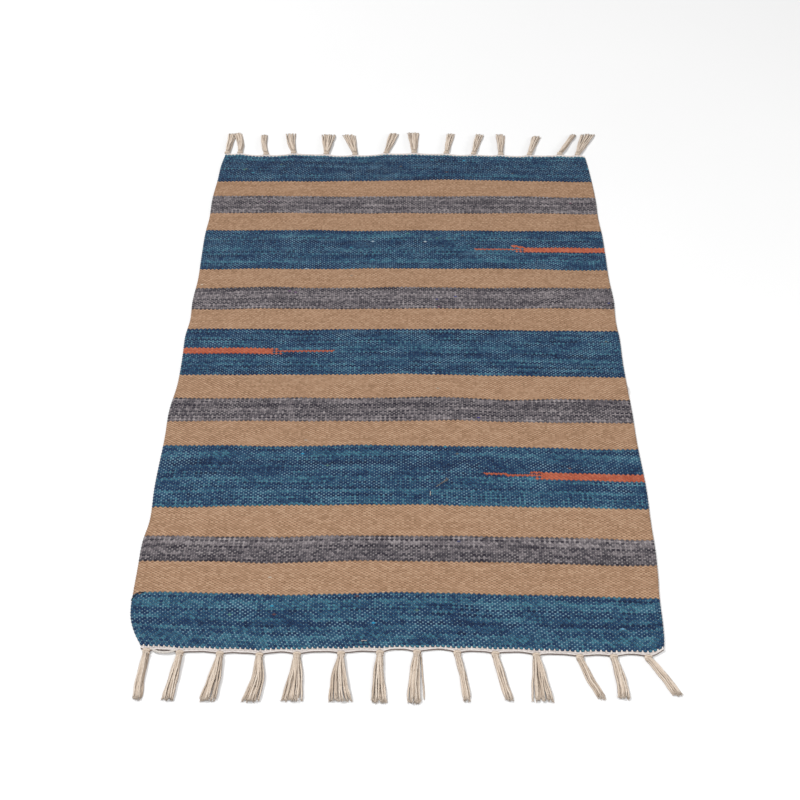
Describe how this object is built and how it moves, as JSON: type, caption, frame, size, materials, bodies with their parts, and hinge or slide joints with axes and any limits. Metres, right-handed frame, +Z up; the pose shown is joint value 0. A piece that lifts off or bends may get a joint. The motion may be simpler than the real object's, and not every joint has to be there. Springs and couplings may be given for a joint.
{
  "type": "kilim",
  "caption": "Flat-woven striped cotton kilim, lying flat, with slightly uneven selvages, natural cotton end bands and a row of knotted tassels at each end.",
  "frame": {"origin": "centre of the whole outline, fringes included, at the surface that the kilim lies on", "axes": "+Y runs along the cloth from the near fringe to the far one, +X across it, +Z up"},
  "size_m": [0.619, 1.0344, 0.0052],
  "materials": {
    "blue_weft": "heathered blue cotton weft with tan, grey and rust stripes, matt",
    "natural_cotton": "undyed plied cotton yarn, matt",
    "tan_weft": "tan cotton weft, matt",
    "grey_weft": "mottled grey cotton weft, matt",
    "rust_weft": "rust orange cotton weft, matt"
  },
  "bodies": {
    "root": {"woven_field": "blue_weft", "end_cord_near": "natural_cotton", "tassel_near_01": "natural_cotton", "tassel_near_02": "natural_cotton", "tassel_near_03": "natural_cotton", "tassel_near_04": "natural_cotton", "tassel_near_05": "natural_cotton", "tassel_near_06": "natural_cotton", "tassel_near_07": "natural_cotton", "tassel_near_08": "natural_cotton", "tassel_near_09": "natural_cotton", "tassel_near_10": "natural_cotton", "tassel_near_11": "natural_cotton", "tassel_near_12": "natural_cotton", "tassel_near_13": "natural_cotton", "tassel_near_14": "natural_cotton", "end_cord_far": "natural_cotton", "tassel_far_01": "natural_cotton", "tassel_far_02": "natural_cotton", "tassel_far_03": "natural_cotton", "tassel_far_04": "natural_cotton", "tassel_far_05": "natural_cotton", "tassel_far_06": "natural_cotton", "tassel_far_07": "natural_cotton", "tassel_far_08": "natural_cotton", "tassel_far_09": "natural_cotton", "tassel_far_10": "natural_cotton", "tassel_far_11": "natural_cotton", "tassel_far_12": "natural_cotton", "tassel_far_13": "natural_cotton", "tassel_far_14": "natural_cotton"}
  },
  "joints": []
}
